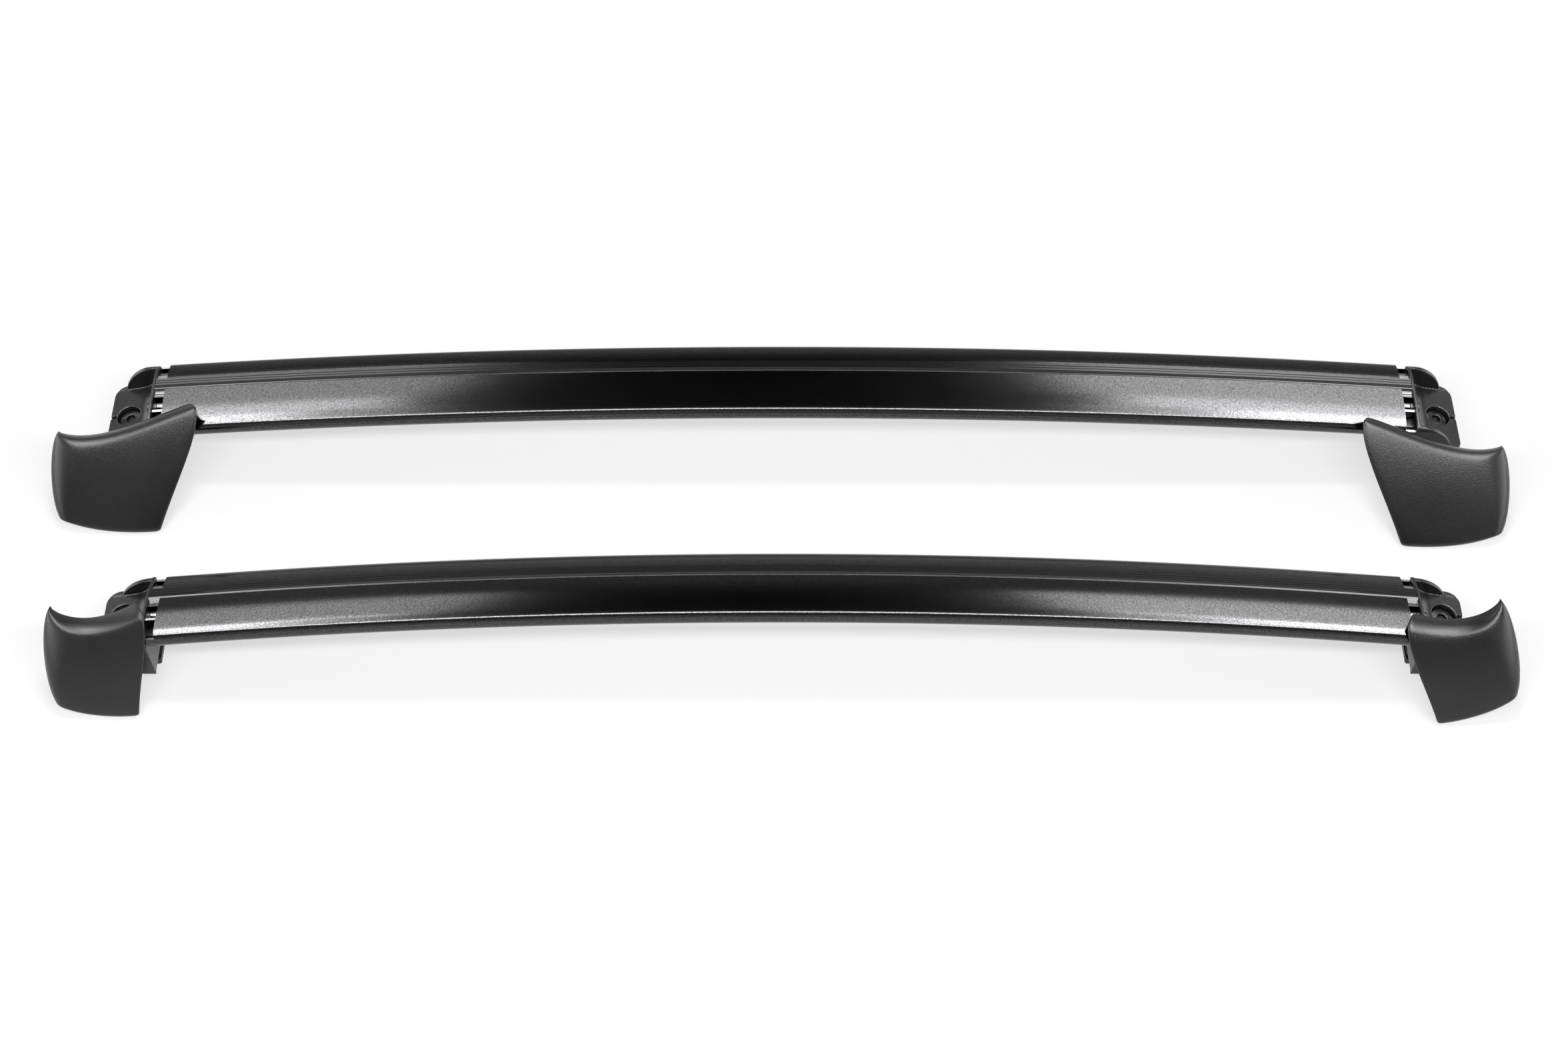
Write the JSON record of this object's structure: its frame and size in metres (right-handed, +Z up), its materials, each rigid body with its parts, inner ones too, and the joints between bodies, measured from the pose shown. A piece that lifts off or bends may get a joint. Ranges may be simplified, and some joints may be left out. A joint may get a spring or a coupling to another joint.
{
  "type": "pair of roof cross bars",
  "caption": "Arched wing-section roof cross bars with rubber slot strips, clamping feet at their ends and loose moulded end covers.",
  "frame": {"origin": "on the table plane, midway between the bars' mid planes and within 3 mm of the centre of the set's plan", "axes": "+X along the bars to the picture's right, +Y from the front bar to the rear bar, +Z up from the table"},
  "size_m": [1.0479, 0.287, 0.0826],
  "materials": {
    "bar_coat": "fine textured satin black coat",
    "bare_end": "milled, bright",
    "strip_rubber": "satin, extruded",
    "casting": "black coated die casting, satin",
    "bolt_steel": "black oxide",
    "zinc": "bright zinc plate",
    "pad_rubber": "matte",
    "cover_plastic": "fine grain, matte charcoal"
  },
  "bodies": {
    "root": {"rear_bar": "bar_coat", "rear_slot_strip": "strip_rubber", "front_bar": "bar_coat", "front_slot_strip": "strip_rubber", "rear_left_bracket": "casting", "rear_left_bracket_screw": "bolt_steel", "rear_left_clamp_bolt": "bolt_steel", "rear_left_bolt_washer": "zinc", "rear_left_clamp_jaw": "casting", "rear_left_clamp_nut": "zinc", "rear_left_rail_pad": "pad_rubber", "rear_left_toe_pad": "pad_rubber", "rear_left_end_cover": "cover_plastic", "rear_right_bracket": "casting", "rear_right_bracket_screw": "bolt_steel", "rear_right_clamp_bolt": "bolt_steel", "rear_right_bolt_washer": "zinc", "rear_right_clamp_jaw": "casting", "rear_right_clamp_nut": "zinc", "rear_right_rail_pad": "pad_rubber", "rear_right_toe_pad": "pad_rubber", "rear_right_end_cover": "cover_plastic", "front_left_bracket": "casting", "front_left_bracket_screw": "bolt_steel", "front_left_clamp_bolt": "bolt_steel", "front_left_bolt_washer": "zinc", "front_left_clamp_jaw": "casting", "front_left_clamp_nut": "zinc", "front_left_rail_pad": "pad_rubber", "front_left_toe_pad": "pad_rubber", "front_left_end_cover": "cover_plastic", "front_right_bracket": "casting", "front_right_bracket_screw": "bolt_steel", "front_right_clamp_bolt": "bolt_steel", "front_right_bolt_washer": "zinc", "front_right_clamp_jaw": "casting", "front_right_clamp_nut": "zinc", "front_right_rail_pad": "pad_rubber", "front_right_toe_pad": "pad_rubber", "front_right_end_cover": "cover_plastic"}
  },
  "joints": []
}
